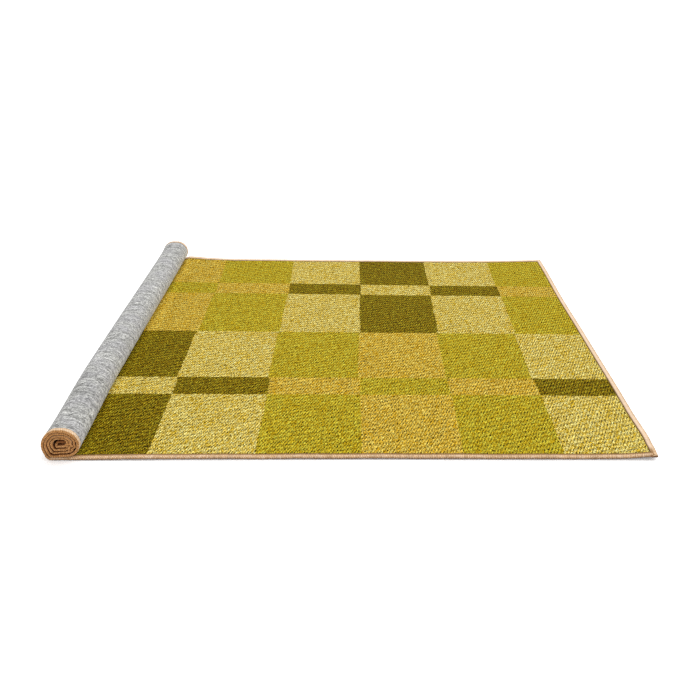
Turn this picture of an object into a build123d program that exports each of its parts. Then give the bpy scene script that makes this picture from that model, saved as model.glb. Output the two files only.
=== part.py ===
from build123d import *
import math
import os

# A flat-woven area rug, laid out flat with one end rolled up.
# It is a laminate: a woven face, a bonding film and a woven backing.
# An overlocked yarn binding wraps all four edges, and a needle thread locks each binding's inner edge.
#
# Frame: +X runs along the rug's length, from the rolled end to the open end.
# +Y runs across its width, from the near edge to the far edge. +Z is up.
# The floor is Z = 0, and the origin is at the middle of the rug's footprint.

# ---- Driving dimensions, in millimetres ----

RUG_LENGTH = 1524.0          # cut length, flat: 5 ft
RUG_WIDTH = 914.0            # cut width, flat: 3 ft

BACKING_THICKNESS = 1.6
BOND_THICKNESS = 0.4
FACE_THICKNESS = 2.4

BINDING_WIDTH = 10.0         # the overlocked band, seen from above
BINDING_THICKNESS = 5.2
YARN_WRAP = 1.0              # yarn above, below and outside the cloth's lip
BINDING_ROUND = 1.4          # the wrapped edge is round, not square

THREAD_WIDTH = 0.8
THREAD_THICKNESS = 0.4

ROLL_RADIUS = 29.0           # outside of the outermost half-turn
ROLL_FLATTENING = 9.0        # the roll sags, so it is this much wider than it is round
LAYER_GAP = 0.1              # air between one layer of binding and the next
HALF_TURNS = 9
CORE_RADIUS = 6.3            # outside of the innermost half-turn, which is folded tighter
CORE_RUN = 11.0              # straight stretch at the hidden end

# ---- Worked out from them ----

PITCH = BINDING_THICKNESS + LAYER_GAP
CLOTH_THICKNESS = BACKING_THICKNESS + BOND_THICKNESS + FACE_THICKNESS

# Depths are measured from the sheet's underside, which is the outside of the roll.
BOND_BOTTOM = BACKING_THICKNESS
BOND_TOP = BACKING_THICKNESS + BOND_THICKNESS
LIP_BOTTOM = YARN_WRAP
LIP_TOP = BINDING_THICKNESS - YARN_WRAP
THREAD_TOP = CLOTH_THICKNESS + THREAD_THICKNESS


def half_turn_radius(turn):
    """Outside radius of one half-turn of the roll, counted from the outermost."""
    if turn == HALF_TURNS - 1:
        return CORE_RADIUS
    return ROLL_RADIUS - turn * PITCH / 2


# The cloth's middle keeps its length when the rug is rolled up.
middle_radii = [half_turn_radius(turn) - CLOTH_THICKNESS / 2 for turn in range(HALF_TURNS)]
rolled_length = math.pi * sum(middle_radii) + (HALF_TURNS - 1) * ROLL_FLATTENING + CORE_RUN
flat_run = RUG_LENGTH - rolled_length
overall_length = flat_run + ROLL_RADIUS

X_OPEN = overall_length / 2            # the open end
X_ROLL = -X_OPEN + ROLL_RADIUS         # where the flat run starts to curl up
X_HIDDEN = X_ROLL + CORE_RUN           # the hidden end, in the roll's core
Z_HIDDEN = ROLL_RADIUS - half_turn_radius(HALF_TURNS - 2) + PITCH / 2 + 2 * CORE_RADIUS
Y_NEAR = -RUG_WIDTH / 2
Y_FAR = RUG_WIDTH / 2


def roll_edges(depth, open_trim, hidden_trim):
    """The rug's side view as lines and tangent arcs at one depth in the sheet, drawn at Y = 0.

    It stops open_trim short of the open end and hidden_trim short of the hidden end.
    """
    here = Vector(X_OPEN - open_trim, 0, depth)
    there = Vector(X_ROLL, 0, depth)
    edges = [Edge.make_line(here, there)]
    for turn in range(HALF_TURNS):
        here = there
        on_left = turn % 2 == 0
        side = -1 if on_left else 1
        radius = half_turn_radius(turn) - depth
        # A left half-turn climbs and a right one comes down again.
        centre = here + Vector(0, 0, -side * radius)
        turned = centre + Vector(0, 0, -side * radius)
        edges.append(Edge.make_three_point_arc(here, centre + Vector(side * radius, 0, 0), turned))
        run = ROLL_FLATTENING if turn < HALF_TURNS - 1 else CORE_RUN - hidden_trim
        there = turned + Vector(-side * run, 0, 0)
        edges.append(Edge.make_line(turned, there))
    return edges


def layer(bottom, top, trim, y_low, y_high):
    """A layer of the sheet between two depths, from y_low to y_high, trimmed at both ends."""
    lower = roll_edges(bottom, trim, trim)
    upper = roll_edges(top, trim, trim)
    ends = [Edge.make_line(lower[0] @ 0, upper[0] @ 0), Edge.make_line(lower[-1] @ 1, upper[-1] @ 1)]
    outline = Pos(0, y_low, 0) * Face(Wire(lower + upper + ends))
    return extrude(outline, amount=y_high - y_low, dir=(0, 1, 0))


def cloth_layer(bottom, top, lip_bottom, lip_top):
    """A layer of cloth with its thinner lip, which reaches into the binding all round."""
    body = layer(bottom, top, BINDING_WIDTH, Y_NEAR + BINDING_WIDTH, Y_FAR - BINDING_WIDTH)
    lip = layer(lip_bottom, lip_top, YARN_WRAP, Y_NEAR + YARN_WRAP, Y_FAR - YARN_WRAP)
    return body + lip


def bonding_film():
    """The film between face and backing, out to the ends of their lips."""
    return layer(BOND_BOTTOM, BOND_TOP, YARN_WRAP, Y_NEAR + YARN_WRAP, Y_FAR - YARN_WRAP)


def side_binding(y_outer, inward):
    """The binding of a long edge, which goes round in the roll with the cloth.

    inward is +1 at the near edge and -1 at the far edge.
    """
    y_inner = y_outer + inward * BINDING_WIDTH
    y_lip = y_outer + inward * YARN_WRAP
    band = layer(0, BINDING_THICKNESS, BINDING_WIDTH, min(y_outer, y_inner), max(y_outer, y_inner))
    outer_edges = [edge for edge in band.edges().filter_by_position(Axis.Y, y_outer, y_outer)
                   if edge.length > BINDING_THICKNESS * 1.01]
    band = fillet(outer_edges, BINDING_ROUND)
    return band - layer(LIP_BOTTOM, LIP_TOP, 0, min(y_lip, y_inner), max(y_lip, y_inner))


def end_binding(x_outer, inward, z_bottom):
    """The straight binding of a short edge, over the whole width of the rug."""
    x_middle = x_outer + inward * BINDING_WIDTH / 2
    z_middle = z_bottom + BINDING_THICKNESS / 2
    band = Pos(x_middle, 0, z_middle) * Box(BINDING_WIDTH, RUG_WIDTH, BINDING_THICKNESS)
    outer_edges = band.edges().filter_by(Axis.Y).filter_by_position(Axis.X, x_outer, x_outer)
    band = fillet(outer_edges, BINDING_ROUND)
    lip_length = BINDING_WIDTH - YARN_WRAP
    lip_x = x_outer + inward * (YARN_WRAP + lip_length / 2)
    return band - Pos(lip_x, 0, z_middle) * Box(lip_length, RUG_WIDTH - 2 * YARN_WRAP, LIP_TOP - LIP_BOTTOM)


def side_thread(y_binding, inward):
    """The needle thread along the inner edge of a long edge's binding."""
    y_inner = y_binding + inward * THREAD_WIDTH
    return layer(CLOTH_THICKNESS, THREAD_TOP, BINDING_WIDTH, min(y_binding, y_inner), max(y_binding, y_inner))


def end_thread(x_binding, inward, z_bottom):
    """The needle thread along the inner edge of a short edge's binding."""
    length = RUG_WIDTH - 2 * (BINDING_WIDTH + THREAD_WIDTH)
    x_middle = x_binding + inward * THREAD_WIDTH / 2
    return Pos(x_middle, 0, z_bottom + THREAD_THICKNESS / 2) * Box(THREAD_WIDTH, length, THREAD_THICKNESS)


parts = {
    "woven_face": cloth_layer(BOND_TOP, CLOTH_THICKNESS, BOND_TOP, LIP_TOP),
    "bonding_film": bonding_film(),
    "woven_backing": cloth_layer(0, BOND_BOTTOM, LIP_BOTTOM, BOND_BOTTOM),
    "edge_binding_near": side_binding(Y_NEAR, 1),
    "edge_binding_far": side_binding(Y_FAR, -1),
    "edge_binding_open_end": end_binding(X_OPEN, -1, 0),
    "edge_binding_hidden_end": end_binding(X_HIDDEN, -1, Z_HIDDEN - BINDING_THICKNESS),
    "needle_thread_near": side_thread(Y_NEAR + BINDING_WIDTH, 1),
    "needle_thread_far": side_thread(Y_FAR - BINDING_WIDTH, -1),
    "needle_thread_open_end": end_thread(X_OPEN - BINDING_WIDTH, -1, CLOTH_THICKNESS),
    "needle_thread_hidden_end": end_thread(X_HIDDEN - BINDING_WIDTH, -1, Z_HIDDEN - THREAD_TOP),
}

os.makedirs("parts", exist_ok=True)
for name, shape in parts.items():
    export_step(shape, f"parts/{name}.step")

print(f"overall length {overall_length:.1f}, of which flat {flat_run:.1f}; rolled up {rolled_length:.1f}")
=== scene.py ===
"""A checked, flat-woven area rug on a pale floor, with one end rolled up.

Every cloth surface is built from one description of the sheet: surface(u, y, depth) gives the place of the
point that lies u from the open end, at y across the rug, and depth up from the sheet's underside.
"""
import math

import bmesh
import bpy
import numpy as np
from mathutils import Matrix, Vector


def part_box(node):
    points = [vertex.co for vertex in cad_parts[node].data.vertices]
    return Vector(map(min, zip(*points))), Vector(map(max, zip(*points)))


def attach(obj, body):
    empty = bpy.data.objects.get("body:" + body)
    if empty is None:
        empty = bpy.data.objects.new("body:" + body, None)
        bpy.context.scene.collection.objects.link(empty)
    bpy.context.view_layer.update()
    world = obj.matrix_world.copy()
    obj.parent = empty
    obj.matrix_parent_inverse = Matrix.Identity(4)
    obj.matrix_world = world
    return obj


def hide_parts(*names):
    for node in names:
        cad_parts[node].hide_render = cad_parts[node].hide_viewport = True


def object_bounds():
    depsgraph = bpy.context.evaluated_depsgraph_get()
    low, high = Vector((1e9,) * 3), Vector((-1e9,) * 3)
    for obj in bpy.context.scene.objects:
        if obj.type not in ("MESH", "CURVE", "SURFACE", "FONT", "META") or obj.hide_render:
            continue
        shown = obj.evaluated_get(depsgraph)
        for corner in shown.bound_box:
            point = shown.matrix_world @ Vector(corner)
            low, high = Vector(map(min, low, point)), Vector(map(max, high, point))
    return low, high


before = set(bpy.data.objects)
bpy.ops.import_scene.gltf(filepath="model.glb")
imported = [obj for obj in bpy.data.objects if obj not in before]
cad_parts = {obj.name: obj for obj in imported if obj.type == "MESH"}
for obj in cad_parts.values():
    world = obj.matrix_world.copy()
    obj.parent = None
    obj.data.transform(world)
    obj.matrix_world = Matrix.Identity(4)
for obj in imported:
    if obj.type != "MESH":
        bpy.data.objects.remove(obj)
cad_low, cad_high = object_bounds()

# ---------------------------------------------------------------- sizes, in metres

MM = 0.001
open_low, open_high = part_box("edge_binding_open_end")

X_OPEN = cad_high.x
Y_NEAR = cad_low.y
Y_FAR = cad_high.y
RUG_WIDTH = Y_FAR - Y_NEAR
BINDING_WIDTH = open_high.x - open_low.x
BINDING_THICKNESS = open_high.z - open_low.z
CLOTH_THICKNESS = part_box("needle_thread_open_end")[0].z
FILM_THICKNESS = 0.4 * MM
FILM_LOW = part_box("bonding_film")[0].z
FILM_HIGH = FILM_LOW + FILM_THICKNESS
MIDDLE = CLOTH_THICKNESS / 2

# The roll, as the CAD model has it.
ROLL_RADIUS = cad_high.z / 2
X_ROLL = cad_low.x + ROLL_RADIUS
FLAT_RUN = X_OPEN - X_ROLL
HALF_TURNS = 9
ROLL_FLATTENING = 9.0 * MM
RUG_LENGTH = 1524.0 * MM            # cut length, flat
EDGE_PITCH = BINDING_THICKNESS + 0.1 * MM

# Away from its thick bindings the cloth packs tighter, so the roll is slimmer in the middle.
BODY_PITCH = 4.8 * MM
FLARE_LENGTH = 28 * MM
LAST_RADIUS = 5.5 * MM              # the innermost half-turn, pressed flat by its own yarn

# What the rug does over the CAD model's regular form. A hump is a height, and where it starts, peaks and
# ends, all in millimetres.
FAR_EDGE_LIFTS = [(7.5, 12, 42, 170), (3.3, 6, 36, 96), (2.6, 40, 150, 420)]    # from the roll
FAR_EDGE_REACH = 55 * MM
CORNER_LIFT = 4.6 * MM              # the near corner of the open end
CORNER_REACH = 75 * MM
OPEN_END_HUMPS = [(-2.0, 350, 600, 900), (2.4, 30, 62, 150)]                    # from the near edge
OPEN_END_SLANT = -0.0072
CORNER_PULL = -4.6 * MM
FAR_WAIST = -8.0 * MM
FAR_WAIST_SPAN = (-60 * MM, 180 * MM, 700 * MM)     # from the open end
NEAR_BELLY = -1.0 * MM
NEAR_STRAIGHT_SPAN = (180 * MM, 480 * MM, 800 * MM)
ROLL_BOW = [(-4.6, 20, 240, 900)]                   # from the near edge
TOWARD_VIEWER = -3.0 * MM           # the near end of the roll
SIDE_SLIP = 0.7 * MM                # from one turn of the roll to the next
CORE_SINK = 5.0 * MM
CORE_RISE = 3.4 * MM

# The near end of the roll is pushed out of shape: how far, in what direction in degrees up from the left,
# and how many degrees wide the push is.
FOOT_SLUMP = (-6.2 * MM, -56, 26)
FOOT_SQUASH = (-3.0 * MM, -56, 22)
SHOULDER_PUSH = (3.1 * MM, 40, 32)
PUSH_REACH = 70 * MM

# How far the right-hand side of each inner layer is crumpled, from the outermost layer inwards.
CRUMPLE = {3: 0.9 * MM, 5: 1.7 * MM, 7: 2.1 * MM}
CRUMPLE_WAVES = 3
CRUMPLE_START = 0.36                # as shares of a half-turn
CRUMPLE_SPAN = 0.6

# The checks: rows are measured from the near edge, and columns from the open end.
LARGE_ROW = 204.5 * MM
THIN_ROW = 64.0 * MM
FIRST_ROW = 201.5 * MM
MIDDLE_LINE = 466.5 * MM
LAST_COLUMN = 151.7 * MM
COLUMN = 174.0 * MM
COLOURS_IN_ROW = 6
HALF_SHIFT = 3.0                    # the near half's checks run this many columns ahead of the far half's
SLIPPED_BANDS = [(265 * MM, 466 * MM, -4.0 * MM), (668 * MM, 732 * MM, 2.0 * MM)]   # from, to, and how far
SLIP_BLEND = 15 * MM
WEAVE_DRAW = 8 * MM                 # the columns are shifted this far in the middle of the open part
WEAVE_SKEW = 0.045                  # the rows slant this much more for each metre across the rug
SQUARE_AT = 408 * MM                # and are in their place here

KNOT_X = 6.15 * MM                  # one woven knot along the rug
KNOT_Y = 6.1 * MM                   # and across it
KNOT_SLANT = 0.33                   # rows of knots run this far off the rug's length
STRAND_X = 2.05 * MM                # one strand inside a knot
STRAND_Y = 4.2 * MM
STRAND_WAVES = [(0.061, 0.126), (0.275, 0.028), (-0.22, 0.084), (0.152, -0.112)]     # per mm, in x and y
STRAND_DRIFT = 4.0                  # how many of its own lengths a wave may wander

WEFT_PITCH = 2.4 * MM               # one yarn of the backing
WARP_PITCH = 2.2 * MM

LIP_THINNING = 1.2 * MM             # how much thinner the cloth is in the binding, on each side

WRAP_PITCH = 2.9 * MM               # one wrap of binding yarn
WRAP_STEPS = 6                      # rings of points in each wrap
WRAP_LEAN = 0.9                     # wraps gained from the outer edge of the binding to the inner one
WRAP_GROOVE = 0.4 * MM
WRAP_UNEVEN = 0.12 * MM
YARN_TONES = 997                    # how many different wraps there are
SQUEEZE = 0.08                      # how much thinner the inner layers of binding are
TOP_SQUEEZE = 0.22                  # and how much more at the top of the roll
STITCH_PITCH = 3.1 * MM
STITCH_RADIUS = 0.42 * MM
STITCH_SHARE = 0.78                 # how much of the pitch the thread shows

rng = np.random.default_rng(41)


# ---------------------------------------------------------------- the shape of the sheet

def ease(t):
    """0 below 0, 1 above 1, and smooth between."""
    t = np.clip(t, 0, 1)
    return t * t * (3 - 2 * t)


def bump(t, start, peak, end):
    """Rises smoothly from 0 at start to 1 at peak, and falls to 0 at end."""
    return ease((t - start) / (peak - start)) * ease((end - t) / (end - peak))


def humps(t, rows):
    """The sum of some humps at t."""
    return sum(height * MM * bump(t, start * MM, peak * MM, end * MM) for height, start, peak, end in rows)


def pitch(y):
    """Thickness of one layer of the roll: full at the bound edges, less in the body."""
    past_binding = np.minimum(y - Y_NEAR, Y_FAR - y) - 0.7 * BINDING_WIDTH
    body = 1 - np.exp(-np.clip(past_binding, 0, None) / FLARE_LENGTH)
    return EDGE_PITCH + (BODY_PITCH - EDGE_PITCH) * body


def half_turn_radius(turn, y):
    """Outside radius of a half-turn, counted from the outermost."""
    if turn == HALF_TURNS - 1:
        return LAST_RADIUS + 0 * y
    inner = ROLL_RADIUS - (HALF_TURNS - 2) * EDGE_PITCH / 2
    return inner + (HALF_TURNS - 2 - turn) * pitch(y) / 2


def arc_length(turn):
    """Length of a half-turn along the cloth's middle, at the bound edge."""
    return math.pi * float(half_turn_radius(turn, np.float64(Y_NEAR)) - MIDDLE)


# The straight stretch at the hidden end takes up what is left of the length.
CORE_RUN = RUG_LENGTH - FLAT_RUN - sum(arc_length(turn) for turn in range(HALF_TURNS))
CORE_RUN -= (HALF_TURNS - 1) * ROLL_FLATTENING
SECOND_HALF_TURN = FLAT_RUN + arc_length(0) + ROLL_FLATTENING
OUTER_TURN_END = SECOND_HALF_TURN + arc_length(1)


def crumple(turn, angle):
    """Radial displacement of the cloth at an angle of a half-turn, in radians from its start."""
    share = (angle - CRUMPLE_START * math.pi) / (CRUMPLE_SPAN * math.pi)
    window = np.where((share > 0) & (share < 1), np.sin(math.pi * np.clip(share, 0, 1)) ** 0.8, 0)
    return CRUMPLE.get(turn, 0) * window * np.sin(2 * math.pi * CRUMPLE_WAVES * share)


def ripples(x, y):
    """The flat cloth's own unevenness, which is greatest at the near edge and gone by the roll."""
    along = 0.35 * MM * (1 + np.sin(x / 0.063 + 0.7) * np.cos(y / 0.09))
    across = 0.3 * MM * (1 + np.sin(x / 0.021 + y / 0.05 + 2.1))
    free = ease((x - X_ROLL - 20 * MM) / (60 * MM))
    edge = 0.3 + 0.7 * np.exp(-(y - Y_NEAR) / (40 * MM))
    return (along + across) * free * edge


def lift(x, y):
    """How far the flat cloth stands off the floor."""
    at_far_edge = np.exp(-(Y_FAR - y) / FAR_EDGE_REACH)
    corner = np.hypot(X_OPEN - x, 1.3 * (y - Y_NEAR))
    near_corner = CORNER_LIFT * ease(1 - corner / CORNER_REACH) ** 1.5
    return at_far_edge * humps(x - X_ROLL, FAR_EDGE_LIFTS) + near_corner + ripples(x, y)


def drawn(x, y):
    """How far the open end has crept in or out of square, along X."""
    near_open_end = ease((x - X_OPEN + 160 * MM) / (160 * MM))
    from_near = y - Y_NEAR
    near_corner = CORNER_PULL * ease(1 - from_near / (34 * MM))
    uneven = OPEN_END_SLANT * y + 0.4 * MM * np.sin(y / 0.047)
    return near_open_end * (uneven + humps(from_near, OPEN_END_HUMPS) + near_corner)


def waist(u, y):
    """How far the long edges have crept along Y: the far one is drawn in, and the near one bellies out."""
    drawn_in = FAR_WAIST * ease((y - 200 * MM) / (Y_FAR - 200 * MM)) * bump(u, *FAR_WAIST_SPAN)
    free = ease((FLAT_RUN - u - 40 * MM) / (120 * MM))
    bellied = NEAR_BELLY * ease(1 - (y - Y_NEAR) / (120 * MM)) * (1 - bump(u, *NEAR_STRAIGHT_SPAN)) * free
    return drawn_in + bellied


def pushed(angle, push):
    """How far a push moves a point that is seen from the core at an angle."""
    size, direction, width = push
    return size * np.exp(-((angle - direction) / width) ** 2)


def leaned(x, z, y):
    """A point of the roll once its near end has slumped to the left, and its core has ridden up."""
    across = x - (X_ROLL + ROLL_FLATTENING / 2)
    up = z - ROLL_RADIUS
    out = np.clip(np.hypot(across, up) / ROLL_RADIUS, 0, 1.2)
    share = out * np.exp(-(y - Y_NEAR) / PUSH_REACH)
    angle = np.degrees(np.arctan2(up, -across))
    sideways = pushed(angle, FOOT_SLUMP) + pushed(angle, SHOULDER_PUSH)
    ridden = CORE_RISE * np.clip(1 - out ** 2, 0, 1) * np.exp(-(y - Y_NEAR) / (50 * MM))
    return x + share * sideways, np.maximum(z + ridden + share * pushed(angle, FOOT_SQUASH), MIDDLE)


def middle(u, y):
    """Where the middle of the cloth runs: x and z for points u along the sheet and y across it."""
    shape = np.broadcast(u, y).shape
    x = np.broadcast_to(X_OPEN - u, shape)
    y = np.broadcast_to(y, shape)
    flat = u <= FLAT_RUN
    z = MIDDLE + np.where(flat, lift(x, y), 0)
    x = x + np.where(flat, drawn(x, y), 0)
    start = FLAT_RUN
    here_x = X_ROLL
    here_z = MIDDLE + 0 * y
    for turn in range(HALF_TURNS):
        side = -1 if turn % 2 == 0 else 1
        radius = half_turn_radius(turn, y) - MIDDLE
        centre_z = here_z - side * radius
        arc = arc_length(turn)
        on_arc = (u > start) & (u <= start + arc)
        angle = math.pi * (u - start) / arc
        r = radius + crumple(turn, angle)
        x = np.where(on_arc, here_x + side * r * np.sin(angle), x)
        z = np.where(on_arc, centre_z + side * r * np.cos(angle), z)
        run = ROLL_FLATTENING if turn < HALF_TURNS - 1 else CORE_RUN
        top = centre_z - side * radius
        on_run = (u > start + arc) & (u <= start + arc + run * 1.001)
        x = np.where(on_run, here_x - side * (u - start - arc), x)
        z = np.where(on_run, top, z)
        start += arc + run
        here_x -= side * run
        here_z = top
    x_leaned, z_leaned = leaned(x, z, y)
    x = np.where(flat, x, x_leaned)
    z = np.where(flat, z, z_leaned)
    x = x + humps(y - Y_NEAR, ROLL_BOW) * ease((u - FLAT_RUN + 120 * MM) / (120 * MM))
    return x, z


def crept(u, y):
    """How far a point of the sheet has crept along Y."""
    turns_slip = SIDE_SLIP * ease((u - FLAT_RUN) / (100 * MM)) * np.sin(u / 0.033 + 0.4)
    core_sink = CORE_SINK * ease((u - RUG_LENGTH + 24 * MM) / (16 * MM))
    near_end = ease(1 - (y - Y_NEAR) / (150 * MM)) * ease((u - FLAT_RUN + 220 * MM) / (200 * MM))
    return turns_slip + core_sink + TOWARD_VIEWER * near_end + waist(u, y)


def surface(u, y, depth):
    """Places of points of the sheet, as an array of x, y, z. u, y and depth are arrays of one shape."""
    u, y, depth = np.broadcast_arrays(np.asarray(u, float), np.asarray(y, float), np.asarray(depth, float))
    u = np.clip(u, 0, RUG_LENGTH)
    step = 0.25 * MM
    x0, z0 = middle(np.clip(u - step, 0, None), y)
    x1, z1 = middle(np.clip(u + step, None, RUG_LENGTH), y)
    x, z = middle(u, y)
    dx, dz = x1 - x0, z1 - z0
    length = np.hypot(dx, dz)
    # u runs to -X on the floor, so this normal points from the underside to the face.
    normal_x, normal_z = dz / length, -dx / length
    off = depth - MIDDLE
    return np.stack([x + normal_x * off, y + crept(u, y), z + normal_z * off], axis=-1)


# ---------------------------------------------------------------- mesh helpers

def mesh_object(name, points, faces, uv, material):
    """A smooth, closed mesh piece from points (n, 3), a list of faces, and one UV pair for each point."""
    mesh = bpy.data.meshes.new(name)
    mesh.from_pydata(points.tolist(), [], faces)
    layer = mesh.uv_layers.new(name="sheet")
    corners = np.zeros(len(mesh.loops), np.int32)
    mesh.loops.foreach_get("vertex_index", corners)
    layer.data.foreach_set("uv", uv[corners].astype(np.float32).ravel())
    mesh.polygons.foreach_set("use_smooth", [True] * len(mesh.polygons))
    mesh.materials.append(material)
    mesh.validate()
    turn_faces_outwards(mesh)
    piece = bpy.data.objects.new(name, mesh)
    bpy.context.scene.collection.objects.link(piece)
    return piece


def turn_faces_outwards(mesh):
    """Points every face of a closed mesh outwards."""
    work = bmesh.new()
    work.from_mesh(mesh)
    bmesh.ops.recalc_face_normals(work, faces=work.faces)
    work.to_mesh(mesh)
    work.free()


def grid_faces(rows, columns, close_columns=False):
    """Quads between the points of a rows by columns grid."""
    last = columns if close_columns else columns - 1
    r, c = np.meshgrid(np.arange(rows - 1), np.arange(last), indexing="ij")
    nxt = (c + 1) % columns
    this_row, next_row = r * columns, (r + 1) * columns
    quads = np.stack([this_row + c, this_row + nxt, next_row + nxt, next_row + c], -1)
    return quads.reshape(-1, 4)


def slab(name, u, y, low, high, material):
    """A closed layer of the sheet over the grid u by y. low and high give its two depths at each point."""
    grid_u, grid_y = np.meshgrid(u, y, indexing="ij")
    top = surface(grid_u, grid_y, high(grid_u, grid_y))
    bottom = surface(grid_u, grid_y, low(grid_u, grid_y))
    rows, columns = grid_u.shape
    count = rows * columns
    faces = grid_faces(rows, columns)
    index = np.arange(count).reshape(rows, columns)
    rim = np.concatenate([index[:-1, 0], index[-1, :-1], index[:0:-1, -1], index[0, :0:-1]])
    following = np.roll(rim, -1)
    walls = np.stack([rim, following, following + count, rim + count], -1)
    points = np.concatenate([top.reshape(-1, 3), bottom.reshape(-1, 3)])
    uv = np.stack([grid_u.ravel(), grid_y.ravel() - Y_NEAR], -1)
    faces = np.concatenate([faces, faces[:, ::-1] + count, walls[:, ::-1]])
    return mesh_object(name, points, faces.tolist(), np.concatenate([uv, uv]), material)


def binding_section():
    """Outline of the overlocked edge: distances in from the outer edge, and heights over its middle."""
    half = BINDING_THICKNESS / 2
    inner = CLOTH_THICKNESS / 2 - 0.35 * MM
    nose = 3.0 * MM
    top = [(BINDING_WIDTH + 0.3 * MM, inner), (BINDING_WIDTH - 0.5 * MM, 0.93 * half),
           (BINDING_WIDTH - 2.2 * MM, half), (0.5 * BINDING_WIDTH, half)]
    angles = [math.radians(a) for a in (90, 68, 45, 22, 0)]
    top += [(nose - nose * math.cos(a), half * math.sin(a)) for a in angles]
    bottom = [(w, -h) for w, h in top[-2::-1]]
    return np.array(top + bottom)


def raised_yarn(section, along):
    """How far each point of the binding stands out of its section: ridges of yarn with grooves between."""
    lean = WRAP_LEAN * np.sign(section[:, 1]) * section[:, 0] / BINDING_WIDTH
    phase = along[:, None] / WRAP_PITCH + lean[None, :]
    wrap = np.floor(phase).astype(int) % YARN_TONES
    strand = rng.normal(0, 1, YARN_TONES)
    across_wrap = 2 * (phase - np.floor(phase)) - 1
    groove = WRAP_GROOVE * (1 - np.sqrt(1 - 0.96 * across_wrap ** 2))
    raised = WRAP_UNEVEN * strand[wrap] - groove
    raised[:, [0, -1]] = -0.1 * MM
    return raised


def binding(name, along, place, material, squeeze=None, uv_start=0.0):
    """A band of yarn wraps. place(along, inward) gives u and y, and squeeze(along) thins it in the roll."""
    section = binding_section()
    following = np.roll(section, -1, axis=0) - np.roll(section, 1, axis=0)
    outward = np.stack([-following[:, 1], following[:, 0]], -1)
    outward /= np.linalg.norm(outward, axis=1)[:, None]
    if (outward[:, 0] * (section[:, 0] - BINDING_WIDTH / 2)).sum() < 0:
        outward = -outward
    raised = raised_yarn(section, along)
    inward = section[None, :, 0] + outward[None, :, 0] * raised
    height = section[None, :, 1] + outward[None, :, 1] * raised
    if squeeze is not None:
        height = height * squeeze(along)[:, None]
    u, y = place(along[:, None], inward)
    points = surface(u, y, height + BINDING_THICKNESS / 2)
    rings, columns = points.shape[:2]
    around = np.cumsum(np.linalg.norm(following, axis=1)) / 2
    around = around - around[len(section) // 2]
    uv = np.stack(np.broadcast_arrays(along[:, None], around[None, :]), -1).reshape(-1, 2)
    points = points.reshape(-1, 3)
    ends = [points[:columns].mean(0), points[-columns:].mean(0)]
    points = np.concatenate([points, ends])
    uv = np.concatenate([uv, [[along[0], 4 * MM], [along[-1], 4 * MM]]])
    uv[:, 0] += uv_start
    faces = grid_faces(rings, columns, close_columns=True).tolist()
    first, last = rings * columns, rings * columns + 1
    last_ring = (rings - 1) * columns
    for c in range(columns):
        nxt = (c + 1) % columns
        faces.append((nxt, c, first))
        faces.append((last_ring + c, last_ring + nxt, last))
    return mesh_object(name, points, faces, uv, material)


def stitches(name, along, place, material):
    """A row of needle-thread stitches lying on the face."""
    rings, sides = 6, 6
    points, faces, uv = [], [], []
    length = STITCH_SHARE * STITCH_PITCH
    for start in along:
        base = len(points)
        turn = rng.normal(0, 0.12)
        for ring in range(rings):
            t = ring / (rings - 1)
            radius = STITCH_RADIUS * max(0.25, math.sin(math.pi * t) ** 0.5)
            for side in range(sides):
                angle = 2 * math.pi * side / sides
                w = radius * math.cos(angle) + turn * (t - 0.5) * length
                h = radius * math.sin(angle) * 0.8 + 0.15 * MM * math.sin(math.pi * t)
                points.append((start + t * length, w, h))
                uv.append((start + t * length, angle * STITCH_RADIUS))
        for ring in range(rings - 1):
            for side in range(sides):
                nxt = (side + 1) % sides
                a = base + ring * sides
                faces.append((a + side, a + nxt, a + sides + nxt, a + sides + side))
        faces.append(tuple(base + side for side in range(sides))[::-1])
        faces.append(tuple(base + (rings - 1) * sides + side for side in range(sides)))
    points = np.array(points)
    u, y = place(points[:, 0], BINDING_WIDTH + 0.9 * MM + points[:, 1])
    placed = surface(u, y, CLOTH_THICKNESS - 0.25 * MM + points[:, 2])
    return mesh_object(name, placed, faces, np.array(uv), material)


# ---------------------------------------------------------------- materials

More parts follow.
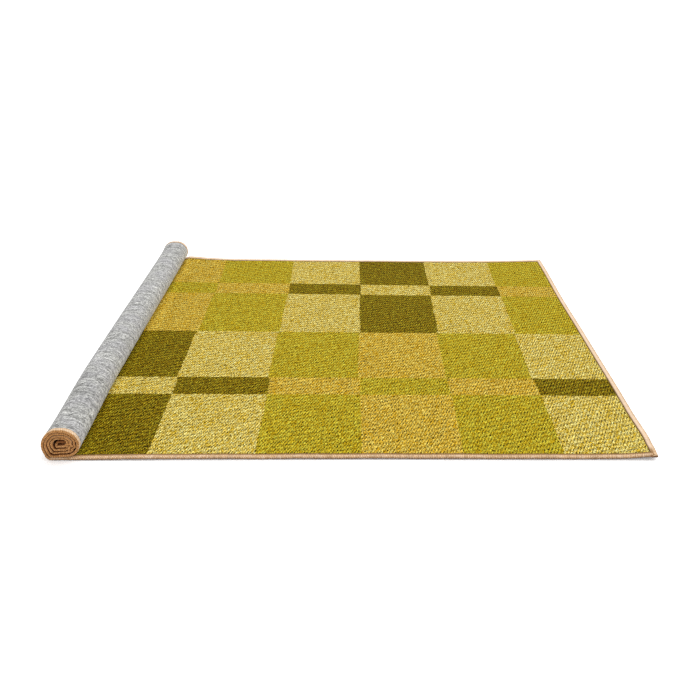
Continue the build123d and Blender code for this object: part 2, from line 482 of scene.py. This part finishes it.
class Graph:
    """A material's node tree, with short calls for the nodes that cloth needs."""

    def __init__(self, name):
        self.material = bpy.data.materials.new(name)
        self.material.use_nodes = True
        self.tree = self.material.node_tree
        self.shader = self.tree.nodes["Principled BSDF"]

    def node(self, kind, **settings):
        made = self.tree.nodes.new(kind)
        for name, value in settings.items():
            setattr(made, name, value)
        return made

    def link(self, source, target):
        self.tree.links.new(source, target)

    def feed(self, socket, value):
        if isinstance(value, bpy.types.NodeSocket):
            self.link(value, socket)
        else:
            socket.default_value = value

    def math(self, operation, a, b=None):
        made = self.node("ShaderNodeMath", operation=operation)
        self.feed(made.inputs[0], a)
        if b is not None:
            self.feed(made.inputs[1], b)
        return made.outputs[0]

    def plus(self, a, b):
        return self.math("ADD", a, b)

    def minus(self, a, b):
        return self.math("SUBTRACT", a, b)

    def times(self, a, b):
        return self.math("MULTIPLY", a, b)

    def over(self, a, b):
        return self.math("DIVIDE", a, b)

    def floor(self, a):
        return self.math("FLOOR", a)

    def wave(self, turns):
        """A cosine that comes round once for each whole number."""
        return self.math("COSINE", self.times(turns, 2 * math.pi))

    def sheet(self):
        """The sheet's own coordinates in metres: u from the open end, and v from the near edge."""
        source = self.node("ShaderNodeUVMap", uv_map="sheet")
        split = self.node("ShaderNodeSeparateXYZ")
        self.link(source.outputs[0], split.inputs[0])
        return split.outputs[0], split.outputs[1]

    def vector(self, x, y, z=0.0):
        made = self.node("ShaderNodeCombineXYZ")
        for socket, value in zip(made.inputs, (x, y, z)):
            self.feed(socket, value)
        return made.outputs[0]

    def noise(self, vector, scale, detail=2.0, roughness=0.5):
        made = self.node("ShaderNodeTexNoise", noise_dimensions="3D")
        self.feed(made.inputs["Vector"], vector)
        made.inputs["Scale"].default_value = scale
        made.inputs["Detail"].default_value = detail
        made.inputs["Roughness"].default_value = roughness
        return made.outputs["Fac"]

    def white(self, x, y):
        """Random numbers, one set for each whole-number pair: a value and three more."""
        made = self.node("ShaderNodeTexWhiteNoise", noise_dimensions="2D")
        self.link(self.vector(x, y), made.inputs["Vector"])
        split = self.node("ShaderNodeSeparateColor")
        self.link(made.outputs["Color"], split.inputs[0])
        return made.outputs["Value"], split.outputs[0], split.outputs[1], split.outputs[2]

    def mix(self, a, b, share, blend="MIX"):
        made = self.node("ShaderNodeMix", data_type="RGBA", blend_type=blend)
        self.feed(made.inputs["Factor"], share)
        self.feed(made.inputs[6], a)
        self.feed(made.inputs[7], b)
        return made.outputs[2]

    def shaded(self, colour, shade):
        """A colour times a single number."""
        return self.mix(colour, self.vector(shade, shade, shade), 1.0, "MULTIPLY")

    def ramp(self, value, stops, interpolation="LINEAR"):
        made = self.node("ShaderNodeValToRGB")
        made.color_ramp.interpolation = interpolation
        elements = made.color_ramp.elements
        while len(elements) < len(stops):
            elements.new(1.0)
        for element, (position, colour) in zip(elements, stops):
            element.position = position
            element.color = colour
        self.feed(made.inputs[0], value)
        return made.outputs[0]

    def between(self, value, low, high):
        """A smooth 0 to 1 as value goes from low to high."""
        made = self.node("ShaderNodeMapRange", interpolation_type="SMOOTHSTEP")
        self.feed(made.inputs["Value"], value)
        made.inputs["From Min"].default_value = low
        made.inputs["From Max"].default_value = high
        return made.outputs["Result"]

    def bump(self, height, distance, strength):
        made = self.node("ShaderNodeBump")
        made.inputs["Distance"].default_value = distance
        made.inputs["Strength"].default_value = strength
        self.feed(made.inputs["Height"], height)
        return made.outputs[0]

    def finish(self, colour, roughness, normal=None, sheen=0.0, sheen_roughness=0.5, tint=(1, 1, 1, 1)):
        self.feed(self.shader.inputs["Base Color"], colour)
        self.feed(self.shader.inputs["Roughness"], roughness)
        self.shader.inputs["Sheen Weight"].default_value = sheen
        self.shader.inputs["Sheen Roughness"].default_value = sheen_roughness
        self.shader.inputs["Sheen Tint"].default_value = tint
        self.shader.inputs["Specular IOR Level"].default_value = 0.04
        if normal is not None:
            self.link(normal, self.shader.inputs["Normal"])
        return self.material


LIGHT_LEVEL = 1.33                  # how much light falls on the rug, for the colours below


def rgb(red, green, blue):
    """A colour given as it looks in this scene's light, 0 to 255, as the linear values that shaders take."""
    def linear(value):
        value /= 255
        return (value / 12.92 if value <= 0.04045 else ((value + 0.055) / 1.055) ** 2.4) / LIGHT_LEVEL
    return (linear(red), linear(green), linear(blue), 1.0)


DARK = rgb(119, 101, 7)
LIGHT = rgb(200, 178, 61)
GREEN = rgb(175, 155, 24)
GOLD = rgb(194, 163, 41)
EDGE_SHADE = rgb(92, 62, 34)
WARM_TINT = (1.14, 0.93, 0.0, 1.0)
PALE_TINT = (0.88, 1.06, 3.9, 1.0)
FACE_SHEEN = (1.0, 0.8, 0.1, 1.0)

BACKING = rgb(184, 184, 181)
BACKING_DARK = rgb(140, 139, 136)
BACKING_PALE = rgb(221, 221, 216)
BACKING_FLECK = rgb(106, 106, 106)
BACKING_COOL = rgb(184, 182, 188)

YARN = rgb(228, 187, 138)
YARN_DARK = rgb(212, 166, 118)
YARN_PALE = rgb(266, 240, 212)
# The next four colours are painted shade: under the bands, along the needle thread, between the layers of
# the roll and in its core and corners, and on the roll's end face.
YARN_SHADED = rgb(98, 60, 32)
YARN_INNER = rgb(150, 108, 58)
YARN_GAP_SHADE = rgb(132, 74, 28)
END_FACE_SHADE = (0.65, 0.47, 0.29, 1.0)
YARN_SHEEN = (1.0, 0.86, 0.7, 1.0)

THREAD_DARK = rgb(92, 58, 30)
THREAD_PALE = rgb(138, 94, 54)
FILM_DARK = rgb(196, 188, 168)
FILM_PALE = rgb(224, 218, 204)

# Colours of the checks from the open end, in the far half of the rug, and what the thin rows show instead.
CHECKS = [GREEN, LIGHT, DARK, LIGHT, GREEN, GOLD]
THIN_CHECKS = [GOLD, DARK, LIGHT, DARK, GOLD, GREEN]


def face_weave(g, u, v, x):
    """The knots' height, the strands' own ripple, and random numbers for each knot and for each strand."""
    # The rows of knots slant a little, and each knot is a slanted stroke between two rows.
    wander = g.minus(g.noise(g.vector(u, v), 12, 2), 0.5)
    slanted = g.minus(v, g.times(x, KNOT_SLANT))
    row = g.plus(g.over(slanted, 2 * KNOT_Y), g.times(wander, 1.3))
    column = g.plus(g.minus(g.over(x, KNOT_X), row), g.times(wander, 0.8))
    knot = g.minus(1.0, g.plus(g.times(g.wave(row), 0.2), g.times(g.wave(column), 0.28)))
    knot_chance = g.white(g.floor(column), g.floor(row))

    # The strands inside the knots twist every way: finer waves, each wandering on its own.
    fine = 0.0
    for index, (along, across) in enumerate(STRAND_WAVES):
        drift = g.times(g.noise(g.vector(u, v, 20.0 + index), 85, 1), STRAND_DRIFT)
        phase = g.plus(g.times(x, along / MM), g.times(v, across / MM))
        fine = g.plus(fine, g.times(g.wave(g.plus(phase, drift)), 1 / len(STRAND_WAVES)))
    strand_u = g.floor(g.plus(g.over(u, STRAND_X), g.times(wander, 3.0)))
    strand_v = g.floor(g.plus(g.over(v, STRAND_Y), g.times(wander, 2.0)))
    return knot, fine, knot_chance, g.white(strand_u, strand_v)


def check_colour(g, u, v, strand_chance):
    """The colour of the check at a place. The weave is a little out of square, drawn in and ragged."""
    sway = g.minus(g.noise(g.vector(u, v, 3.0), 6, 1), 0.5)
    ragged = g.times(g.minus(strand_chance, 0.5), 2.5 * MM)
    draw = g.math("SINE", g.times(g.minus(u, LAST_COLUMN), math.pi / (4 * COLUMN)))
    u_weave = g.plus(u, g.times(draw, WEAVE_DRAW))
    u_weave = g.plus(u_weave, g.plus(ragged, g.times(sway, 9 * MM)))
    for start, end, shift in SLIPPED_BANDS:
        past_start = g.between(v, start - SLIP_BLEND, start + SLIP_BLEND)
        before_end = g.between(v, end + SLIP_BLEND, end - SLIP_BLEND)
        u_weave = g.plus(u_weave, g.times(g.times(past_start, before_end), shift))
    skew = g.times(g.times(v, WEAVE_SKEW), g.minus(SQUARE_AT, u))
    v_weave = g.plus(g.plus(v, skew), g.plus(ragged, g.times(sway, 4 * MM)))

    column = g.floor(g.over(g.plus(u_weave, COLUMN - LAST_COLUMN), COLUMN))
    far_half = g.math("GREATER_THAN", v_weave, MIDDLE_LINE)
    column = g.plus(column, g.times(g.minus(1.0, far_half), HALF_SHIFT))
    column = g.math("FLOORED_MODULO", column, COLOURS_IN_ROW)
    place = g.over(g.plus(column, 0.5), COLOURS_IN_ROW)
    in_half = g.math("FLOORED_MODULO", g.minus(v_weave, FIRST_ROW), 2 * LARGE_ROW + THIN_ROW)
    thin = g.math("LESS_THAN", in_half, THIN_ROW)
    stops = [(k / COLOURS_IN_ROW, colour) for k, colour in enumerate(CHECKS)]
    thin_stops = [(k / COLOURS_IN_ROW, colour) for k, colour in enumerate(THIN_CHECKS)]
    return g.mix(g.ramp(place, stops, "CONSTANT"), g.ramp(place, thin_stops, "CONSTANT"), thin)


def face_material():
    g = Graph("face_cloth")
    u, v = g.sheet()
    x = g.minus(FLAT_RUN, u)
    knot, fine, knot_chance, strand = face_weave(g, u, v, x)
    check = check_colour(g, u, v, strand[3])

    # Each strand has its own tone, and its own place between a warm yellow and a pale grey.
    warm = g.mix(check, WARM_TINT, 1.0, "MULTIPLY")
    pale = g.mix(check, PALE_TINT, 1.0, "MULTIPLY")
    colour = g.mix(warm, pale, g.plus(g.times(strand[1], 0.75), g.times(knot_chance[1], 0.25)))
    knot_tone = g.plus(0.95, g.times(knot_chance[0], 0.1))
    strand_tone = g.plus(0.75, g.times(strand[0], 0.5))
    # The colour is darker where the knots and strands lie low: painted shade of the weave's relief, together
    # with each knot's and strand's own tone.
    shade = g.times(g.times(g.plus(knot, fine), knot_tone), strand_tone)
    shade = g.math("MAXIMUM", shade, 0.02)

    # The weave shows more strongly in the dark checks. Beside the roll the cloth is painted paler: painted
    # light against the shade the roll casts there.
    split = g.node("ShaderNodeSeparateColor")
    g.link(check, split.inputs[0])
    paleness = g.between(split.outputs[0], DARK[0] * 1.1, GREEN[0])
    shade = g.math("POWER", shade, g.minus(1.5, g.times(paleness, 0.5)))
    painted_light_by_roll = g.times(g.between(x, 60 * MM, 36 * MM), g.between(x, 0.0, 20 * MM))
    shade = g.times(shade, g.plus(1.0, g.times(painted_light_by_roll, 0.3)))
    colour = g.shaded(colour, shade)

    # The stitch at the binding draws the cloth down. The cloth beside it is painted dark brown, painted
    # shade of that groove, less so towards the far edge.
    from_near = g.minus(v, BINDING_WIDTH)
    from_far = g.minus(RUG_WIDTH - BINDING_WIDTH, v)
    from_side = g.math("MINIMUM", from_near, from_far)
    from_binding = g.math("MINIMUM", from_side, g.minus(u, BINDING_WIDTH))
    by_binding = g.minus(1.0, g.between(from_binding, 0.2 * MM, 3.2 * MM))
    share = g.minus(0.75, g.times(g.between(v, 0.5, 0.8), 0.65))
    colour = g.mix(colour, EDGE_SHADE, g.times(by_binding, share))
    # Inside the roll, near the bound edges, the face is painted dark brown: painted shade in the gaps
    # between its layers.
    in_roll = g.between(u, FLAT_RUN, FLAT_RUN + 60 * MM)
    at_mouth = g.between(from_side, 60 * MM, 5 * MM)
    colour = g.mix(colour, YARN_GAP_SHADE, g.times(in_roll, at_mouth))

    normal = g.bump(g.plus(knot, g.times(knot_chance[0], 0.2)), 0.6 * MM, 0.6)
    return g.finish(colour, 0.95, normal, sheen=0.015, sheen_roughness=0.45, tint=FACE_SHEEN)


def backing_material():
    """A fine plain weave. Weft yarns run along u, each with its own changing grey."""
    g = Graph("backing_cloth")
    u, v = g.sheet()
    weft = g.over(v, WEFT_PITCH)
    warp = g.plus(g.over(u, WARP_PITCH), g.times(g.floor(weft), 0.5))
    knot = g.minus(1.0, g.plus(g.times(g.wave(weft), 0.1), g.times(g.wave(warp), 0.08)))
    chance = g.white(g.floor(warp), g.floor(weft))[0]

    streak = g.noise(g.vector(g.times(u, 0.3), v), 230, 3, 0.6)
    fleck = g.noise(g.vector(g.times(u, 0.6), v, 5.0), 300, 2)
    cloud = g.noise(g.vector(u, v, 9.0), 24, 2)
    colour = g.ramp(streak, [(0.3, BACKING_DARK), (0.5, BACKING), (0.7, BACKING_PALE)])
    colour = g.mix(colour, BACKING_FLECK, g.times(g.between(fleck, 0.56, 0.72), 0.75))
    colour = g.mix(colour, BACKING_PALE, g.times(g.between(fleck, 0.44, 0.3), 0.7))
    colour = g.mix(colour, BACKING_COOL, g.times(g.between(cloud, 0.42, 0.62), 0.3))

    # Single yarns differ all the way round the roll, and its near end is darker. The weave's low parts are
    # painted darker, painted shade of its relief, and the roll's right side is painted paler: painted light
    # against its shade there.
    tone = g.plus(0.65, g.times(chance, 0.7))
    long_yarn = g.noise(g.vector(g.times(u, 0.07), v, 13.0), 90, 3)
    tone = g.times(tone, g.plus(0.35, g.times(long_yarn, 1.3)))
    near_end = g.between(v, 0.3, 0.05)
    tone = g.times(tone, g.minus(1.0, g.times(near_end, 0.07)))
    right_start = SECOND_HALF_TURN + 0.3 * arc_length(1)
    painted_light_right = g.between(u, right_start, right_start + 0.32 * arc_length(1))
    shade = g.times(g.times(knot, tone), g.plus(1.0, g.times(painted_light_right, 0.32)))
    colour = g.shaded(colour, shade)
    normal = g.bump(g.plus(knot, g.times(streak, 0.6)), 0.5 * MM, 0.6)
    return g.finish(colour, 0.95, normal, sheen=0.05)


def yarn_base(g, along, around):
    """The colour of the binding yarn, with painted shade in the grooves between its wraps, the height of its
    wraps, and its fibres.
    """
    slant = g.over(g.math("ABSOLUTE", around), 11 * MM)
    wraps = g.plus(g.over(along, WRAP_PITCH), slant)
    wrap = g.floor(wraps)
    ridge = g.math("SINE", g.times(g.minus(wraps, wrap), math.pi))
    chance = g.white(wrap, 7.0)[0]
    fibre = g.noise(g.vector(along, g.times(around, 0.4)), 900, 2, 0.6)
    worn = g.noise(g.vector(along, around, 2.0), 60, 2)
    colour = g.ramp(fibre, [(0.32, YARN_DARK), (0.5, YARN), (0.68, YARN_PALE)])
    tone = g.plus(0.84, g.times(chance, 0.3))
    # Painted shade: the colour is darkened in the grooves between wraps.
    colour = g.shaded(colour, g.times(tone, g.plus(0.65, g.times(ridge, 0.4))))
    colour = g.mix(colour, YARN_PALE, g.times(g.between(worn, 0.5, 0.7), 0.35))
    return colour, ridge, fibre


def yarn_material():
    """around runs over the band: 0 at the outer edge, negative on the face side and positive underneath."""
    g = Graph("binding_yarn")
    along, around = g.sheet()
    colour, ridge, fibre = yarn_base(g, along, around)
    position = g.node("ShaderNodeSeparateXYZ")
    g.link(g.node("ShaderNodeNewGeometry").outputs["Position"], position.inputs[0])
    y, z = position.outputs[1], position.outputs[2]
    side = g.math("ABSOLUTE", around)

    # The band is painted pale on its flat sides, a painted highlight where the light falls on them, least so
    # at the near edge and in the roll.
    flat = g.between(along, FLAT_RUN + 20 * MM, FLAT_RUN)
    at_near = g.times(g.between(y, Y_NEAR + 30 * MM, Y_NEAR + 12 * MM), flat)
    rolled = g.between(along, FLAT_RUN, FLAT_RUN + 40 * MM)
    kept = g.math("MAXIMUM", g.times(at_near, 0.5), g.times(rolled, 0.3))
    colour = g.mix(colour, YARN_PALE, g.times(g.between(side, 3.0 * MM, 6.0 * MM), g.minus(0.6, kept)))

    # It is painted browner on the needle thread's side: painted shade where the band meets the cloth.
    inner_edge = g.times(g.between(side, 8.8 * MM, 10.8 * MM), 0.5)
    near_inner = g.times(g.between(side, 5.4 * MM, 7.6 * MM), g.times(at_near, 0.75))
    colour = g.mix(colour, YARN_INNER, g.math("MAXIMUM", inner_edge, near_inner))

    # Painted shade: it is darkened underneath, and where the layers of the roll press on each other, but
    # less so near the top.
    in_roll = g.between(along, FLAT_RUN, FLAT_RUN + 25 * MM)
    outermost = g.math("LESS_THAN", along, OUTER_TURN_END)
    under = g.times(g.between(around, -3.6 * MM, 2.2 * MM), g.minus(1.0, in_roll))
    colour = g.mix(colour, YARN_SHADED, g.times(under, 0.9))
    inner_side = g.between(around, -2.1 * MM, -3.3 * MM)
    outer_side = g.times(g.between(around, 2.1 * MM, 3.3 * MM), g.minus(1.0, outermost))
    pressed = g.times(g.math("MAXIMUM", inner_side, outer_side), in_roll)
    at_top = g.between(z, 30 * MM, 42 * MM)
    pressed = g.times(pressed, g.minus(1.0, g.times(at_top, 0.85)))
    colour = g.mix(colour, YARN_GAP_SHADE, g.times(pressed, 0.93))

    # Painted shade: the end face of the roll is darker and tanner, and its core and the gaps at the side
    # bindings' first corners are brown.
    end_face = g.times(in_roll, g.between(side, 4.5 * MM, 2.0 * MM))
    colour = g.mix(colour, END_FACE_SHADE, end_face, "MULTIPLY")
    at_core = g.between(along, RUG_LENGTH - 22 * MM, RUG_LENGTH - 8 * MM)
    at_corner = g.times(g.between(along, 15 * MM, 9 * MM), g.math("GREATER_THAN", along, 0.0))
    at_corner = g.times(at_corner, g.between(around, -4 * MM, -1 * MM))
    core_and_corner_shade = g.math("MAXIMUM", g.times(at_core, 0.8), g.times(at_corner, 0.7))
    colour = g.mix(colour, YARN_GAP_SHADE, core_and_corner_shade)

    normal = g.bump(g.plus(ridge, g.times(fibre, 0.5)), 0.3 * MM, 0.6)
    return g.finish(colour, 0.8, normal, sheen=0.1, sheen_roughness=0.35, tint=YARN_SHEEN)


def thread_material():
    g = Graph("needle_thread")
    along, around = g.sheet()
    strands = g.math("SINE", g.times(g.plus(along, around), 2 * math.pi / (0.5 * MM)))
    colour = g.ramp(g.plus(0.5, g.times(strands, 0.5)), [(0.0, THREAD_DARK), (1.0, THREAD_PALE)])
    return g.finish(colour, 0.6, g.bump(strands, 0.1 * MM, 0.6), sheen=0.1)


def film_material():
    g = Graph("bonding_film")
    u, v = g.sheet()
    mottle = g.noise(g.vector(u, v), 90, 3)
    colour = g.ramp(mottle, [(0.3, FILM_DARK), (0.7, FILM_PALE)])
    return g.finish(colour, 0.45, g.bump(mottle, 0.1 * MM, 0.5))


def floor_material():
    g = Graph("pale_floor")
    g.shader.inputs["Emission Color"].default_value = (1.0, 1.0, 1.0, 1.0)
    g.shader.inputs["Emission Strength"].default_value = 0.13
    return g.finish((0.95, 0.95, 0.95, 1.0), 0.9)


# ---------------------------------------------------------------- the pieces

def spread(start, end, step):
    """Evenly spaced values from start to end, no more than step apart."""
    return np.linspace(start, end, int(math.ceil((end - start) / step)) + 1)


def across_rug():
    """Values of y: close together by the bound edges, and wider apart in the body."""
    by_edge = np.array([2.4, 5, 7.5, 9, 10, 11, 12.2, 14, 17, 22, 29, 38, 49, 62]) * MM
    body = spread(Y_NEAR + 75 * MM, Y_FAR - 75 * MM, 13 * MM)
    return np.concatenate([Y_NEAR + by_edge, body, Y_FAR - by_edge[::-1]])


def along_rug():
    """Values of u: close together by the open end and in the roll."""
    by_open_end = np.array([2.4, 5, 7.5, 9, 10, 11, 12.2, 14, 18]) * MM
    flat = spread(24 * MM, FLAT_RUN - 6 * MM, 7.5 * MM)
    rolled = spread(FLAT_RUN, RUG_LENGTH - 12 * MM, 2.6 * MM)
    by_hidden_end = RUG_LENGTH - np.array([10, 7.5, 5, 2.4]) * MM
    return np.concatenate([by_open_end, flat, rolled, by_hidden_end])


def from_edge(u, y):
    """Distance to the rug's nearest edge."""
    return np.minimum(np.minimum(y - Y_NEAR, Y_FAR - y), np.minimum(u, RUG_LENGTH - u))


def face_top(u, y):
    """Depth of the face's upper side. The cloth thins towards its lip, inside the binding."""
    inside = ease((from_edge(u, y) - 8.5 * MM) / (4.5 * MM))
    return CLOTH_THICKNESS - LIP_THINNING * (1 - inside)


def backing_bottom(u, y):
    """Depth of the backing's underside, which comes up to its lip inside the binding."""
    inside = ease((from_edge(u, y) - 8 * MM) / (3 * MM))
    return LIP_THINNING * (1 - inside)


def film_top(u, y):
    return FILM_HIGH + 0 * u


def film_bottom(u, y):
    return FILM_LOW + 0 * u


def roll_squeeze(along):
    """Inner layers of binding are pressed thinner than the outer one, most of all over the core."""
    z = middle(along, Y_NEAR + 0 * along)[1]
    above = np.clip((z - ROLL_RADIUS) / ROLL_RADIUS, 0, 1)
    return 1 - (SQUEEZE + TOP_SQUEEZE * above) * ease((along - FLAT_RUN - 120 * MM) / (100 * MM))


def at_open_end(along, w):
    return w, along


def at_hidden_end(along, w):
    return RUG_LENGTH - w, along


yarn, thread = yarn_material(), thread_material()
grid = along_rug(), across_rug()
face = slab("woven_face_cloth", *grid, film_top, face_top, face_material())
film = slab("bonding_film_layer", *grid, film_bottom, film_top, film_material())
backing = slab("woven_backing_cloth", *grid, backing_bottom, film_bottom, backing_material())

bindings, threads = [], []
side_along = spread(BINDING_WIDTH - 1.5 * MM, RUG_LENGTH - BINDING_WIDTH + 1.5 * MM, WRAP_PITCH / WRAP_STEPS)
side_starts = np.arange(BINDING_WIDTH + 2 * MM, RUG_LENGTH - BINDING_WIDTH - 2 * MM, STITCH_PITCH)
for side, (outer, inward) in {"near": (Y_NEAR, 1), "far": (Y_FAR, -1)}.items():
    def at_side(along, w, outer=outer, inward=inward):
        return along, outer + inward * w
    bindings.append(binding(f"edge_binding_{side}_yarn", side_along, at_side, yarn, roll_squeeze))
    threads.append(stitches(f"needle_thread_{side}_stitches", side_starts, at_side, thread))

# The yarn's material tells the roll by how far along a binding is. So the open end's binding counts from far
# before the sheet, and the hidden end's from far past it.
end_along = spread(Y_NEAR, Y_FAR, WRAP_PITCH / WRAP_STEPS)
end_starts = np.arange(Y_NEAR + BINDING_WIDTH + 2 * MM, Y_FAR - BINDING_WIDTH - 4 * MM, STITCH_PITCH)
for end, place, uv_start in [("open_end", at_open_end, -2 * RUG_LENGTH),
                             ("hidden_end", at_hidden_end, 2 * RUG_LENGTH)]:
    bindings.append(binding(f"edge_binding_{end}_yarn", end_along, place, yarn, uv_start=uv_start))
    threads.append(stitches(f"needle_thread_{end}_stitches", end_starts, place, thread))

for piece, node, slot in [(face, "woven_face", "face_cloth"), (film, "bonding_film", "bonding_film"),
                          (backing, "woven_backing", "backing_cloth")]:
    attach(piece, "root")
    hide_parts(node)
for piece in bindings:
    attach(piece, "root")
    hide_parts(piece.name.removesuffix("_yarn"))
for piece in threads:
    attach(piece, "root")
    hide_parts(piece.name.removesuffix("_stitches"))


# ---------------------------------------------------------------- floor, light and camera

SUN_FROM = (1.1, 0.6, 2.3)
SUN_STRENGTH = 1.2
SUN_SPREAD = 60                     # degrees
CAMERA_PLACE = (0.0109, -1.5055, 0.7491)
CAMERA_DOWN = 27.446                # degrees below level
FLOOR_REACH = 60.0                  # out to the horizon
FLOOR_TOP = -0.3 * MM               # the yarn stands out this far below the rug


def add_floor():
    mesh = bpy.data.meshes.new("pale_floor")
    corners = [(-1, -1), (1, -1), (1, 1), (-1, 1)]
    mesh.from_pydata([(FLOOR_REACH * x, FLOOR_REACH * y, FLOOR_TOP) for x, y in corners], [], [(0, 1, 2, 3)])
    mesh.materials.append(floor_material())
    floor = bpy.data.objects.new("pale_floor", mesh)
    bpy.context.scene.collection.objects.link(floor)


def add_sun():
    """Even, soft light from the direction of SUN_FROM, seen from the middle of the rug."""
    x, y, z = SUN_FROM
    data = bpy.data.lights.new("softbox", "SUN")
    data.energy = SUN_STRENGTH
    data.angle = math.radians(SUN_SPREAD)
    light = bpy.data.objects.new("softbox", data)
    light.location = SUN_FROM
    light.rotation_euler = (math.atan2(math.hypot(x, y), z), 0, math.atan2(x, -y))
    bpy.context.scene.collection.objects.link(light)


def add_world():
    world = bpy.data.worlds.new("studio")
    world.use_nodes = True
    background = world.node_tree.nodes["Background"]
    background.inputs["Color"].default_value = (1.0, 1.0, 1.0, 1.0)
    background.inputs["Strength"].default_value = 1.0
    bpy.context.scene.world = world
    bpy.context.scene.view_settings.view_transform = "Standard"
    bpy.context.scene.cycles.use_denoising = False      # it would smooth the weave away
    bpy.context.scene.cycles.filter_width = 1.3


def add_camera():
    data = bpy.data.cameras.new("camera")
    data.lens = 39.65
    data.sensor_width = 36.0
    data.shift_x = -0.0106
    camera = bpy.data.objects.new("camera", data)
    camera.location = CAMERA_PLACE
    camera.rotation_euler = (math.radians(90 - CAMERA_DOWN), 0, 0)
    bpy.context.scene.collection.objects.link(camera)
    bpy.context.scene.camera = camera


add_floor()
add_world()
add_sun()
add_camera()
